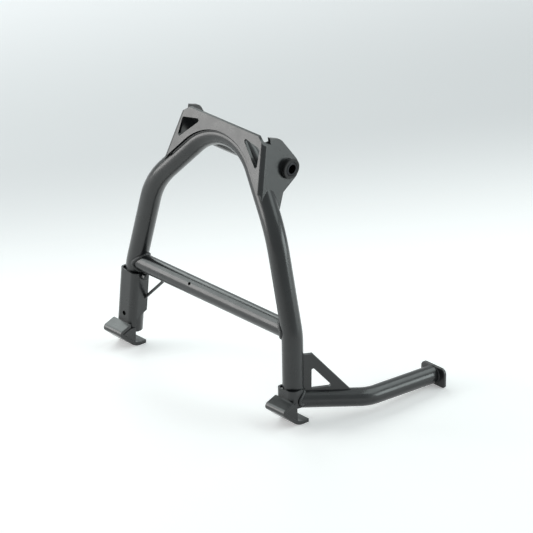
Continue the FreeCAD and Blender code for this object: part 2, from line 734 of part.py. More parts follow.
def bead_between(first_grown, second_grown, metal):
    """Weld metal in the corner between two pieces: where both grown outlines meet."""
    return first_grown.common(second_grown).cut(metal)


def pivot_bead():
    """Bead round the pivot tube on the inner side of the right cheek."""
    tube = pivot_rod(PIVOT_TUBE_RADIUS, PIVOT_TUBE_END + PAST)
    grown = pivot_rod(PIVOT_TUBE_RADIUS + BEAD_SIZE, PIVOT_TUBE_END + PAST)
    inward = BRIDGE_BLANK.copy()
    inward.translate(Vector(-BEAD_SIZE, 0, 0))
    bead = bead_between(inward, grown, [BRIDGE_BLANK, tube, ARCH_ROD])
    return max(bead.Solids, key=lambda solid: solid.CenterOfMass.x)


def lever_bead(bracket, gusset):
    """Bead round the root of the lever on the right leg."""
    lever = rod_along(LEVER_PATH, LEVER_RADIUS + BEAD_SIZE)
    return largest(bead_between(LEG_BEAD_ROD, lever, [ARCH_ROD, LEVER_ROD, bracket, gusset]))


def pad_bead():
    """Bead between the lever's end and its pad."""
    grown = rod_along(LEVER_PATH, LEVER_RADIUS + BEAD_SIZE)
    slab = pad_block(PAD_FACE_BACK - BEAD_SIZE, BEAD_SIZE)
    return largest(bead_between(grown, slab, [LEVER_ROD]))


def bridge_bead():
    """Bead along the arched lower edge of the front plate."""
    size = BRIDGE_BEAD_SIZE
    tube = rod_along(ARCH_PATH, LEG_RADIUS + size)
    grown = BRIDGE_BLANK.copy()
    grown.translate(UP_CROWN * -size)
    return largest(bead_between(tube, grown, [ARCH_ROD, BRIDGE_BLANK]))


def build():
    """All pieces by name, in the frame of the sizes above."""
    bracket_right = foot_bracket(BRACKET_TOP_RIGHT, False)
    bracket_left = mirrored(foot_bracket(BRACKET_TOP_LEFT, True))
    bridge = bridge_plate()
    gusset = lever_gusset(bracket_right)
    pieces = {
        "arch_tube": arch_tube(),
        "bridge_plate": bridge,
        "pivot_tube": pivot_tube(),
        "pivot_bush_right": pivot_bush(),
        "pivot_bush_left": mirrored(pivot_bush()),
        "pivot_sleeve": pivot_sleeve(),
        "crossbar": crossbar(),
        "foot_bracket_right": bracket_right,
        "foot_bracket_left": bracket_left,
        "rocker_sole_right": rocker_sole(),
        "rocker_sole_left": mirrored(rocker_sole()),
        "spring_peg": spring_peg(bracket_left),
        "brace_rod": brace_rod(bracket_left),
        "lever_tube": lever_tube(bracket_right),
        "lever_pad": lever_pad(),
        "lever_gusset": gusset,
        "weld_pivot_right": pivot_bead(),
        "weld_pivot_left": mirrored(pivot_bead()),
        "weld_lever": lever_bead(bracket_right, gusset),
        "weld_pad": pad_bead(),
        "weld_bridge": bridge_bead(),
    }
    return pieces


os.makedirs("parts", exist_ok=True)
for name, shape in build().items():
    placed = shape.copy()
    placed.translate(PIVOT * -1)
    print(name, placed.isValid(), len(placed.Solids), round(placed.Volume))
    placed.exportStep("parts/" + name + ".step")
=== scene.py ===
import functools
import math

import bmesh
import bpy
from bpy.props import FloatProperty, FloatVectorProperty, PointerProperty
from mathutils import Matrix, Vector
from mathutils.bvhtree import BVHTree


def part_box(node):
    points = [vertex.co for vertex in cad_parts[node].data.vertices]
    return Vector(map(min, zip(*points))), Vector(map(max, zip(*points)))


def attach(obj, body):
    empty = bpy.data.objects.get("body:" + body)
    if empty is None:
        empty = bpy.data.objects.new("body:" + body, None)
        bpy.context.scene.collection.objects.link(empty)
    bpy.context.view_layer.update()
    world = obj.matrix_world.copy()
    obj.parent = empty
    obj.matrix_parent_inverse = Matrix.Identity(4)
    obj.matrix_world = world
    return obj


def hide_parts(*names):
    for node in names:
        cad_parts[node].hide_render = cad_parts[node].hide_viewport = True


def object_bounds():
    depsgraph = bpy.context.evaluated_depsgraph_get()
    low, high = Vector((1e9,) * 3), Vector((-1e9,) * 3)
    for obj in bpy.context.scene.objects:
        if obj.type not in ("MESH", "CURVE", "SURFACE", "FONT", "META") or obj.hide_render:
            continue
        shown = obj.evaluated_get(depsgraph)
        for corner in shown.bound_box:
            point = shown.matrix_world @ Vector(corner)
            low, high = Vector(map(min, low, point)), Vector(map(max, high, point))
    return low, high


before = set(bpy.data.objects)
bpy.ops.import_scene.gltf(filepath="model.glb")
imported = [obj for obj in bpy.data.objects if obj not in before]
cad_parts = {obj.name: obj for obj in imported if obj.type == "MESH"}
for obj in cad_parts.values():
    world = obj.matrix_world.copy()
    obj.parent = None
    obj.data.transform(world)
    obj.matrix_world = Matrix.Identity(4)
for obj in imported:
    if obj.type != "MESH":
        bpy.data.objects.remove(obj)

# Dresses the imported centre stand: tubes with smooth bends, plates with rounded edges,
# rippled weld beads, satin paint, and a pale studio with a camera.

bl_info = {
    "name": "Centre stand dresser",
    "version": (1, 0, 0),
    "blender": (4, 5, 0),
    "location": "3D View > Sidebar > Centre stand",
    "description": "Tubes, plates, weld beads, paint and studio for the packed centre stand",
    "category": "Object",
}

CAD_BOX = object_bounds()
STAND = "stand"


# Properties

def length(name, description, default):
    """A settable length in metres."""
    return FloatProperty(
        name=name, description=description, default=default, subtype="DISTANCE", unit="LENGTH")


def degrees(name, description, default):
    """A settable angle, with its default in degrees."""
    return FloatProperty(
        name=name, description=description, default=math.radians(default), subtype="ANGLE")


def number(name, description, default):
    """A settable number without a unit."""
    return FloatProperty(name=name, description=description, default=default)


def colour(name, description, default):
    """A settable colour."""
    return FloatVectorProperty(
        name=name, description=description, default=default, subtype="COLOR", size=3)


class ArchSizes(bpy.types.PropertyGroup):
    """Arch tube that forms both legs."""
    diameter: length("Tube diameter", "Outside diameter of the leg tube", 0.027)
    wall: length("Wall", "Wall of the leg tube", 0.0025)
    foot_spread: length("Foot half spread", "Half the distance between the feet", 0.154)
    foot_forward: length("Foot forward", "How far the feet stand ahead of the ankles", 0.0035)
    end_height: length("End height", "Height of the tube's open ends above the floor", 0.020)
    ankle_spread: length("Ankle half spread", "Half the distance between the ankles", 0.1468)
    ankle_height: length("Ankle height", "Height of the ankle bends above the floor", 0.115)
    ankle_radius: length("Ankle radius", "Radius of the ankle bends", 0.080)
    shoulder_spread: length(
        "Shoulder half spread", "Half the distance between the shoulders", 0.113)
    shoulder_height: length(
        "Shoulder height", "Height of the shoulder bends above the floor", 0.240)
    shoulder_setback: length(
        "Shoulder setback", "How far the shoulders stand behind the ankles", 0.0025)
    shoulder_radius: length("Shoulder radius", "Radius of the shoulder bends", 0.105)
    crown_height: length(
        "Crown height", "Height of the crown's centre line above the floor", 0.328)
    crown_radius: length("Crown radius", "Radius of the crown", 0.074)
    crown_lean: degrees("Crown lean", "Rearward lean of the crown", 16.8)


class LeverSizes(bpy.types.PropertyGroup):
    """Foot lever."""
    diameter: length("Tube diameter", "Outside diameter of the lever tube", 0.024)
    wall: length("Wall", "Wall of the lever tube", 0.0022)
    root_height: length("Root height", "Height of the lever's root above the floor", 0.029)
    knee_spread: length("Knee spread", "Distance of the knee from the middle plane", 0.1965)
    knee_back: length("Knee back", "How far the knee stands behind the ankles", 0.085)
    knee_height: length("Knee height", "Height of the knee above the floor", 0.0185)
    knee_radius: length("Knee radius", "Radius of the lever's bend", 0.055)
    end_spread: length("End spread", "Distance of the pad from the middle plane", 0.198)
    end_back: length("End back", "How far the pad stands behind the ankles", 0.199)
    end_height: length("End height", "Height of the lever's end above the floor", 0.0135)
    pad_thickness: length("Pad thickness", "Thickness of the end plate", 0.004)


class BarSizes(bpy.types.PropertyGroup):
    """Crossbar between the legs."""
    diameter: length("Crossbar diameter", "Outside diameter of the crossbar", 0.024)
    wall: length("Wall", "Wall of the crossbar", 0.002)
    height: length("Crossbar height", "Height of the crossbar above the floor", 0.1185)
    sink: length(
        "Sink", "How far a tube's end reaches into the wall that it is welded to", 0.0015)
    hole: length("Drain hole", "Diameter of the drain hole", 0.0045)
    hole_offset: length(
        "Drain hole offset", "Distance of the drain hole from the middle", 0.034)
    hole_slope: degrees("Drain hole slope", "Angle of the drain hole above level", 35)


class BeadSizes(bpy.types.PropertyGroup):
    """Weld beads."""
    radius: length("Bead radius", "Radius of a bead's section", 0.0024)
    fine_radius: length("Fine bead radius", "Radius of the section of the bridge's bead", 0.0016)
    pad_radius: length("Pad bead radius", "Radius of the section of the pad's bead", 0.0012)
    pitch: length("Ripple pitch", "Distance from one ripple of a bead to the next", 0.0021)
    ripple: number("Ripple", "Share of the radius that a ripple adds", 0.10)


class EdgeSizes(bpy.types.PropertyGroup):
    """Rounded edges of cut sheet."""
    plate: length("Plate edge", "Radius on the edges of cut plates", 0.0007)
    thin: length("Thin edge", "Radius on the edges of thin sheet", 0.0005)


class PaintLook(bpy.types.PropertyGroup):
    """Paint, sleeve and bushes."""
    dark: colour("Dark tone", "Darker tone of the paint", (0.0055, 0.0062, 0.0070))
    light: colour("Light tone", "Lighter tone of the paint", (0.0125, 0.0140, 0.0150))
    peel: length("Peel", "Size of the paint's orange peel", 0.0012)
    steel: colour("Sleeve steel", "Colour of the turned sleeve", (0.045, 0.046, 0.050))
    liner: colour("Bush", "Colour of the bushes", (0.006, 0.006, 0.0065))


class StudioLook(bpy.types.PropertyGroup):
    """Camera, floor and lamps."""
    azimuth: degrees("Azimuth", "Bearing of the camera", 47.601)
    elevation: degrees("Elevation", "Height angle of the camera", 24.578)
    distance: length("Distance", "Distance of the camera from its target", 5.582)
    lens: number("Lens", "Focal length in millimetres", 297.85)
    floor: colour("Floor", "Colour of the floor near the stand", (1.0, 1.0, 1.0))
    # The far floor's darker colour is painted shade: the floor is painted darker far behind the
    # stand.
    far_floor_painted_shade: colour(
        "Far floor", "Colour of the floor far behind the stand", (0.575, 0.58, 0.59))
    key: number("Key", "Power of the lamp at the front", 42.0)
    side: number("Side", "Power of the high lamp at the left", 35.0)
    rear: number("Rear", "Power of the high lamp behind", 25.0)
    fill: number("Fill", "Power of the low lamp at the right", 22.0)
    world: number("World", "Light of the surroundings", 0.17)
    backdrop: number("Backdrop", "Brightness of the surroundings as seen", 0.66)


GROUPS = {
    "stand_arch": ArchSizes,
    "stand_lever": LeverSizes,
    "stand_bar": BarSizes,
    "stand_bead": BeadSizes,
    "stand_edge": EdgeSizes,
    "stand_paint": PaintLook,
    "stand_studio": StudioLook,
}


# Places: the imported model's lowest point is the floor, and its origin is the pivot

FLOOR = CAD_BOX[0].z
PIVOT_BEHIND_ANKLES = 0.05042
SIDES = (("right", 1), ("left", -1))


def place(across, back, height):
    """A point from its distances from the middle, the plane of the ankles and the floor."""
    return Vector((across, back - PIVOT_BEHIND_ANKLES, height + FLOOR))


def flipped(point):
    """The same point on the other side of the stand."""
    return Vector((-point.x, point.y, point.z))


# Mesh tools

CIRCLE_SIDES = 64
LEVER_CIRCLE_SIDES = 56
DRILL_CIRCLE_SIDES = 32
BEAD_CIRCLE_SIDES = 10

# Angle of one step round a bend, and the fewest steps that a bend has
BEND_STEP = math.radians(3)
LEVER_BEND_STEP = math.radians(2)
LEAST_BEND_STEPS = 4

# Angles between two faces past which their edge is shaded as a sharp one
SHARP = math.radians(40)
PLATE_SHARP = math.radians(50)
BEAD_SHARP = math.radians(75)

# Direction along which no two corners of a tube lie level
SORT_ALONG = Vector((1.0, 0.6180, 0.3249))


def object_from(bm, name):
    """A new object in the scene that takes over a bmesh."""
    mesh = bpy.data.meshes.new(name)
    bm.to_mesh(mesh)
    bm.free()
    made = bpy.data.objects.new(name, mesh)
    bpy.context.scene.collection.objects.link(made)
    return made


def finished_piece(name, bm, body, material, sharp=SHARP):
    """Turns a bmesh into a smooth-shaded piece that rides on a body."""
    bmesh.ops.recalc_face_normals(bm, faces=bm.faces)
    for face in bm.faces:
        face.smooth = True
    for edge in bm.edges:
        edge.smooth = not (edge.is_manifold and edge.calc_face_angle(0) > sharp)
    piece = object_from(bm, name)
    piece.data.materials.append(material)
    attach(piece, body)
    return piece


def edges_in(geometry):
    """The edges among the results of a mesh operator."""
    return [item for item in geometry if isinstance(item, bmesh.types.BMEdge)]


def points_in(geometry):
    """The vertices among the results of a mesh operator."""
    return [item for item in geometry if isinstance(item, bmesh.types.BMVert)]


def each_once(items):
    """A list without repeats, in the order of the first ones."""
    return list(dict.fromkeys(items))


def square_to(point, direction):
    """Matrix that puts a circle at a point, square to a direction."""
    turn = direction.to_track_quat("Z", "Y").to_matrix().to_4x4()
    return Matrix.Translation(point) @ turn


def ring_edges(bm, point, direction, radius, sides):
    """Edges of a new circle."""
    made = bmesh.ops.create_circle(
        bm, cap_ends=False, radius=radius, segments=sides, matrix=square_to(point, direction))
    return each_once(edge for vert in made["verts"] for edge in vert.link_edges)


def drawn_out(bm, edges, move):
    """Extrudes rings along a straight line and returns the new rings."""
    made = bmesh.ops.extrude_edge_only(bm, edges=edges)["geom"]
    bmesh.ops.translate(bm, verts=points_in(made), vec=move)
    return edges_in(made)


def bent_round(bm, edges, centre, axis, angle, steps):
    """Extrudes rings round a bend and returns the new rings."""
    verts = each_once(vert for edge in edges for vert in edge.verts)
    made = bmesh.ops.spin(
        bm, geom=verts + edges, cent=centre, axis=axis, angle=angle, steps=steps,
        use_duplicate=False)
    return edges_in(made["geom_last"])


def bend_at(before, corner, after, radius):
    """Start, end, centre, axis and angle of the arc that rounds a corner."""
    back = (before - corner).normalized()
    ahead = (after - corner).normalized()
    half = back.angle(ahead) / 2
    reach = radius / math.tan(half)
    start = corner + back * reach
    end = corner + ahead * reach
    centre = corner + (back + ahead).normalized() * (radius / math.sin(half))
    return start, end, centre, ahead.cross(back), math.pi - 2 * half


def close_between_rings(bm, edges):
    """Faces across the wall of a tube's end, each corner to its nearest on the other ring."""
    verts = each_once(vert for edge in edges for vert in edge.verts)
    centre = sum((vert.co for vert in verts), Vector()) / len(verts)
    middle = sum((vert.co - centre).length for vert in verts) / len(verts)
    inner = [vert for vert in verts if (vert.co - centre).length < middle]

    def nearest(corner):
        """The inner ring's vertex closest to a corner."""
        return min(inner, key=lambda vert: (vert.co - corner.co).length)

    for edge in edges:
        a, b = edge.verts
        if a not in inner:
            bm.faces.new([a, b, nearest(b), nearest(a)])


def put_in_order(bm):
    """Sorts points, edges and faces by place, because extruding leaves them in any order."""
    bm.verts.sort(key=lambda vert: vert.co.dot(SORT_ALONG))
    bm.edges.sort(key=lambda edge: (edge.verts[0].co + edge.verts[1].co).dot(SORT_ALONG))
    bm.faces.sort(key=lambda face: face.calc_center_median().dot(SORT_ALONG))


def bent_tube(corners, radii, diameter, wall, sides=CIRCLE_SIDES, step=BEND_STEP):
    """A tube along straight runs and round bends."""
    bm = bmesh.new()
    heading = (corners[1] - corners[0]).normalized()
    outside = diameter / 2
    edges = ring_edges(bm, corners[0], heading, outside, sides)
    edges += ring_edges(bm, corners[0], heading, outside - wall, sides)
    first = list(edges)
    at = corners[0]
    for i, radius in enumerate(radii):
        enter, leave, centre, axis, angle = bend_at(*corners[i:i + 3], radius)
        edges = drawn_out(bm, edges, enter - at)
        steps = max(LEAST_BEND_STEPS, math.ceil(angle / step))
        edges = bent_round(bm, edges, centre, axis, angle, steps)
        at = leave
    edges = drawn_out(bm, edges, corners[-1] - at)
    for end in (first, edges):
        close_between_rings(bm, end)
    put_in_order(bm)
    return bm


def skin_of(node):
    """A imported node's surface as a target for rays."""
    bm = bmesh.new()
    bm.from_mesh(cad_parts[node].data)
    tree = BVHTree.FromBMesh(bm)
    bm.free()
    return tree


def hit(skin, origin, direction):
    """First point of a skin along a ray."""
    point = skin.ray_cast(origin, direction)[0]
    if point is None:
        raise RuntimeError("a weld seam's ray met nothing")
    return point


# Materials

# Part of a noise's range that is spread over the whole change of tone or gloss
MIDDLE = {"low": 0.3, "high": 0.7}
NARROW_MIDDLE = {"low": 0.35, "high": 0.65}

PAINT_TONES = {"scale": 16, "detail": 4}
PAINT_GLOSS = {"scale": 55, "detail": 5, "roughness": 0.6}
PEEL_DETAIL = 2
PAINT_SPECULAR = 0.5
PAINT_COAT = 0.35
PAINT_COAT_ROUGHNESS = 0.12
PEEL_DEPTH = 0.0004
STEEL_TONES = {"scale": 90, "detail": 6}
STEEL_DARK_SHARE = 0.7
TURNING_MARKS_SCALE = 900
TURNING_MARKS_WAVER = 1.5
BUSH_TONES = {"scale": 140, "detail": 4}
BUSH_GLOSS = {"scale": 400, "detail": 3}
BUSH_GRAIN = {"scale": 1800, "detail": 2}
BUSH_DARK_SHARE = 0.7
BUSH_LIGHT_SHARE = 1.4
FINE_DEPTH = 0.0002


def new_material(name):
    """A new node material, its node tree and its shader."""
    material = bpy.data.materials.new(name)
    material.use_nodes = True
    return material, material.node_tree, material.node_tree.nodes["Principled BSDF"]


def own_coordinates(tree):
    """The piece's own coordinates."""
    return tree.nodes.new("ShaderNodeTexCoord").outputs["Object"]


def noise(tree, scale, detail, roughness=0.5):
    """Noise on the piece's own coordinates."""
    node = tree.nodes.new("ShaderNodeTexNoise")
    node.inputs["Scale"].default_value = scale
    node.inputs["Detail"].default_value = detail
    node.inputs["Roughness"].default_value = roughness
    tree.links.new(own_coordinates(tree), node.inputs["Vector"])
    return node.outputs["Fac"]


def mapped(tree, value, low, high, to_low=0, to_high=1, interpolation="LINEAR"):
    """Maps one range of a value to another."""
    node = tree.nodes.new("ShaderNodeMapRange")
    node.interpolation_type = interpolation
    node.inputs["From Min"].default_value = low
    node.inputs["From Max"].default_value = high
    node.inputs["To Min"].default_value = to_low
    node.inputs["To Max"].default_value = to_high
    tree.links.new(value, node.inputs["Value"])
    return node.outputs["Result"]


def two_tones(tree, share, first, second):
    """A colour between two tones."""
    node = tree.nodes.new("ShaderNodeMix")
    node.data_type = "RGBA"
    node.inputs["A"].default_value = (*first, 1)
    node.inputs["B"].default_value = (*second, 1)
    tree.links.new(share, node.inputs["Factor"])
    return node.outputs["Result"]


def scaled(tone, share):
    """A tone made darker or lighter."""
    return tuple(part * share for part in tone)


def bumped(tree, shader, height, strength, distance):
    """Bump on a shader."""
    node = tree.nodes.new("ShaderNodeBump")
    node.inputs["Strength"].default_value = strength
    node.inputs["Distance"].default_value = distance
    tree.links.new(height, node.inputs["Height"])
    tree.links.new(node.outputs["Normal"], shader.inputs["Normal"])


def black_paint(name, glossiest, dullest, peel_strength):
    """Black paint with soft changes of tone and gloss, and a fine orange peel."""
    look = bpy.context.scene.stand_paint
    material, tree, shader = new_material(name)
    share = mapped(tree, noise(tree, **PAINT_TONES), **NARROW_MIDDLE)
    tone = two_tones(tree, share, look.dark, look.light)
    tree.links.new(tone, shader.inputs["Base Color"])
    gloss = mapped(
        tree, noise(tree, **PAINT_GLOSS), **MIDDLE, to_low=glossiest, to_high=dullest)
    tree.links.new(gloss, shader.inputs["Roughness"])
    shader.inputs["Specular IOR Level"].default_value = PAINT_SPECULAR
    shader.inputs["Coat Weight"].default_value = PAINT_COAT
    shader.inputs["Coat Roughness"].default_value = PAINT_COAT_ROUGHNESS
    peel = noise(tree, scale=1 / look.peel, detail=PEEL_DETAIL)
    bumped(tree, shader, peel, strength=peel_strength, distance=PEEL_DEPTH)
    return material


@functools.cache
def plate_paint():
    """Paint on tubes and plates."""
    return black_paint("satin_black_paint", glossiest=0.25, dullest=0.36, peel_strength=0.07)


@functools.cache
def weld_paint():
    """Thicker, duller paint on the weld beads."""
    return black_paint("weld_black_paint", glossiest=0.38, dullest=0.55, peel_strength=0.25)


def turned_steel():
    """Dark turned steel of the pivot sleeve."""
    steel = bpy.context.scene.stand_paint.steel
    material, tree, shader = new_material("turned_dark_steel")
    shader.inputs["Metallic"].default_value = 1.0
    share = mapped(tree, noise(tree, **STEEL_TONES), **MIDDLE)
    tone = two_tones(tree, share, scaled(steel, STEEL_DARK_SHARE), steel)
    tree.links.new(tone, shader.inputs["Base Color"])
    wave = tree.nodes.new("ShaderNodeTexWave")
    wave.wave_type = "BANDS"
    wave.bands_direction = "X"
    wave.inputs["Scale"].default_value = TURNING_MARKS_SCALE
    wave.inputs["Distortion"].default_value = TURNING_MARKS_WAVER
    tree.links.new(own_coordinates(tree), wave.inputs["Vector"])
    marks = wave.outputs["Fac"]
    gloss = mapped(tree, marks, low=0, high=1, to_low=0.28, to_high=0.42)
    tree.links.new(gloss, shader.inputs["Roughness"])
    bumped(tree, shader, marks, strength=0.2, distance=FINE_DEPTH)
    return material


@functools.cache
def bush_liner():
    """Matt black bush."""
    liner = bpy.context.scene.stand_paint.liner
    material, tree, shader = new_material("matt_black_bush")
    share = mapped(tree, noise(tree, **BUSH_TONES), **MIDDLE)
    tone = two_tones(
        tree, share, scaled(liner, BUSH_DARK_SHARE), scaled(liner, BUSH_LIGHT_SHARE))
    tree.links.new(tone, shader.inputs["Base Color"])
    gloss = mapped(tree, noise(tree, **BUSH_GLOSS), **MIDDLE, to_low=0.5, to_high=0.65)
    tree.links.new(gloss, shader.inputs["Roughness"])
    bumped(tree, shader, noise(tree, **BUSH_GRAIN), strength=0.15, distance=FINE_DEPTH)
    return material


def dress(node, material):
    """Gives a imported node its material."""
    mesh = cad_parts[node].data
    mesh.materials.clear()
    mesh.materials.append(material)


# Centre lines

def leg_point(height):
    """Middle of the right leg's tube at a height below the ankle."""
    s = bpy.context.scene.stand_arch
    share = height / s.ankle_height
    across = s.foot_spread + (s.ankle_spread - s.foot_spread) * share
    return place(across, s.foot_forward * (share - 1), height)


def crown_up():
    """Direction up the leaning plane of the crown."""
    lean = bpy.context.scene.stand_arch.crown_lean
    return Vector((0, math.sin(lean), math.cos(lean)))


def crown_out():
    """Direction out of the front of the crown's plane."""
    lean = bpy.context.scene.stand_arch.crown_lean
    return Vector((0, -math.cos(lean), math.sin(lean)))


def crown_point(across, along):
    """A point in the crown's plane, measured from the line between the shoulders."""
    s = bpy.context.scene.stand_arch
    return place(across, s.shoulder_setback, s.shoulder_height) + crown_up() * along


def crown_apex():
    """How far up the crown's plane the two upper leg lines would meet."""
    s = bpy.context.scene.stand_arch
    centre = (s.crown_height - s.shoulder_height) / math.cos(s.crown_lean) - s.crown_radius
    reach = math.hypot(s.shoulder_spread, centre)
    tangent = math.acos(s.crown_radius / reach) - math.atan2(centre, s.shoulder_spread)
    return centre + s.crown_radius / math.sin(tangent)


def arch_corners():
    """Corners of the arch's centre line, from the left foot to the right."""
    s = bpy.context.scene.stand_arch
    foot = leg_point(s.end_height)
    ankle = place(s.ankle_spread, 0, s.ankle_height)
    shoulder = place(s.shoulder_spread, s.shoulder_setback, s.shoulder_height)
    right = [foot, ankle, shoulder]
    return [flipped(point) for point in right] + [crown_point(0, crown_apex())] + right[::-1]


def lever_corners():
    """Corners of the lever's centre line, from the middle of the leg to the pad."""
    s = bpy.context.scene.stand_lever
    root = leg_point(s.root_height)
    knee = place(s.knee_spread, s.knee_back, s.knee_height)
    end = place(s.end_spread, s.end_back, s.end_height)
    return [root, knee, end]


# Tubes

# Half the length of the crossbar's tube before its ends are moved to the legs
BAR_STUB = 0.05


class STAND_OT_arch(bpy.types.Operator):
    """Make the bent arch tube that forms both legs"""
    bl_idname = "stand.arch"
    bl_label = "Arch tube"

    def execute(self, context):
        s = context.scene.stand_arch
        half = (s.ankle_radius, s.shoulder_radius)
        bm = bent_tube(arch_corners(), (*half, s.crown_radius, *half[::-1]), s.diameter, s.wall)
        piece = finished_piece("arch", bm, STAND, plate_paint())
        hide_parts("arch_tube")
        return {"FINISHED"}


class STAND_OT_lever(bpy.types.Operator):
    """Make the bent tube of the foot lever"""
    bl_idname = "stand.lever"
    bl_label = "Foot lever"

    def execute(self, context):
        s = context.scene.stand_lever
        root, knee, end = lever_corners()
        heading = (knee - root).normalized()
        leg_radius = context.scene.stand_arch.diameter / 2
        into_leg = s.diameter / 4
        start = root + heading * (leg_radius - into_leg)
        before_pad = s.pad_thickness / 2 - context.scene.stand_bar.sink
        stop = end - (end - knee).normalized() * before_pad
        bm = bent_tube(
            [start, knee, stop], (s.knee_radius,), s.diameter, s.wall, LEVER_CIRCLE_SIDES,
            LEVER_BEND_STEP)
        piece = finished_piece("lever", bm, STAND, plate_paint())
        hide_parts("lever_tube")
        return {"FINISHED"}


def drilled(bm, middle, direction, radius, depth):
    """The mesh with a round hole through its wall."""
    drill = bmesh.new()
    bmesh.ops.create_cone(
        drill, cap_ends=True, segments=DRILL_CIRCLE_SIDES, radius1=radius, radius2=radius,
        depth=depth, matrix=square_to(middle, direction))
    helpers = []
    for name, made in (("work", bm), ("drill", drill)):
        bmesh.ops.recalc_face_normals(made, faces=made.faces)
        helpers.append(object_from(made, name))
    work, cutter = helpers
    cut = work.modifiers.new("hole", "BOOLEAN")
    cut.operation = "DIFFERENCE"
    cut.solver = "EXACT"
    cut.object = cutter
    bpy.context.view_layer.update()
    graph = bpy.context.evaluated_depsgraph_get()
    result = bpy.data.meshes.new_from_object(work.evaluated_get(graph))
    holed = bmesh.new()
    holed.from_mesh(result)
    bpy.data.meshes.remove(result)
    for helper in helpers:
        mesh = helper.data
        bpy.data.objects.remove(helper)
        bpy.data.meshes.remove(mesh)
    return holed


class STAND_OT_bar(bpy.types.Operator):
    """Make the crossbar, its ends cut to the legs and its drain hole drilled"""
    bl_idname = "stand.bar"
    bl_label = "Crossbar"

    def execute(self, context):
        s = context.scene.stand_bar
        leg = skin_of("arch_tube")
        middle = place(0, 0, s.height)
        stub = Vector((BAR_STUB, 0, 0))
        bm = bent_tube([middle - stub, middle + stub], (), s.diameter, s.wall)
        for vert in bm.verts:
            sign = math.copysign(1, vert.co.x)
            end = hit(leg, Vector((0, vert.co.y, vert.co.z)), Vector((sign, 0, 0)))
            vert.co.x = end.x + sign * s.sink
        aim = Vector((0, -math.cos(s.hole_slope), math.sin(s.hole_slope)))
        outside = s.diameter / 2
        start = middle + Vector((-s.hole_offset, 0, 0)) + aim * outside
        bm = drilled(bm, start, aim, s.hole / 2, outside)
        piece = finished_piece("crossbar_tube", bm, STAND, plate_paint())
        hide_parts("crossbar")
        return {"FINISHED"}


# Plates

PLATES = ("bridge_plate", "rocker_sole_right", "rocker_sole_left", "lever_pad", "lever_gusset")
THIN_PLATES = ("foot_bracket_right", "foot_bracket_left")

# Vertices this close are one, faces this near to level are joined, sharper edges are rounded
SAME_PLACE = 0.000002
LEVEL = math.radians(0.4)
CUT_EDGE = math.radians(38)


def softened(node, width):
    """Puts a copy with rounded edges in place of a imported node."""
    bm = bmesh.new()
    bm.from_mesh(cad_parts[node].data)
    bmesh.ops.remove_doubles(bm, verts=bm.verts, dist=SAME_PLACE)
    bmesh.ops.dissolve_limit(
        bm, angle_limit=LEVEL, verts=bm.verts, edges=bm.edges, use_dissolve_boundaries=False)
    cut = [edge for edge in bm.edges if edge.is_manifold and edge.calc_face_angle(0) > CUT_EDGE]
    bmesh.ops.bevel(
        bm, geom=cut, offset=width, offset_type="OFFSET", segments=2, profile=0.5,
        affect="EDGES", clamp_overlap=True, material=-1)
    piece = finished_piece(
        node + "_formed", bm, STAND, plate_paint(), PLATE_SHARP)
    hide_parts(node)
    weigh = piece.modifiers.new("weighted_normals", "WEIGHTED_NORMAL")
    weigh.keep_sharp = True


class STAND_OT_plates(bpy.types.Operator):
    """Round the cut edges of the bridge, the brackets, the soles, the pad and the gusset"""
    bl_idname = "stand.plates"
    bl_label = "Plates"

    def execute(self, context):
        edges = context.scene.stand_edge
        for nodes, width in ((PLATES, edges.plate), (THIN_PLATES, edges.thin)):
            for node in nodes:
                softened(node, width)
        return {"FINISHED"}


# Weld beads

# Rings to each ripple, and the fewest rings that a bead has
RIPPLE_RINGS = 4
LEAST_BEAD_RINGS = 8

# An open bead's thickness at its ends, and how much it gains with each ring
TAPER_START = 0.45
TAPER_GAIN = 0.18

# Rays round a tube that find its seam
SEAM_RAYS = 72

# How far outside a tube's skin the middle of a bead lies, as a share of the bead's radius
BEAD_SEAT = 0.3
BAR_BEAD_SEAT = 0.1

# How far the crossbar's beads stand proud of the leg, as a share of their radius
BAR_BEAD_PROUD = 0.15

# Where the rays start: from the middle plane, the lever's root, the pad and the crown's plane
BAR_RAY_START = 0.09
PIVOT_RAY_START = 0.03
LEVER_RAY_START = 0.04
PAD_RAY_START = 0.02
BRIDGE_RAY_START = 0.03

# The bridge's seam: its rise over the arch's centre line, its half width, and its points
BRIDGE_SEAM_RISE = 0.0035
BRIDGE_SEAM_REACH = 0.078
STRAIGHT_POINTS = 20
CURVE_POINTS = 40


def along_line(points, pitch):
    """Evenly spaced points along a line, a fixed number to each ripple."""
    lengths = [0.0]
    for a, b in zip(points, points[1:]):
        lengths.append(lengths[-1] + (b - a).length)
    count = max(LEAST_BEAD_RINGS, round(lengths[-1] / pitch * RIPPLE_RINGS))
    spaced = []
    index = 0
    for i in range(count + 1):
        target = lengths[-1] * i / count
        while index < len(points) - 2 and lengths[index + 1] < target:
            index += 1
        span = lengths[index + 1] - lengths[index]
        share = (target - lengths[index]) / span if span else 0.0
        spaced.append(points[index].lerp(points[index + 1], min(1.0, share)))
    return spaced


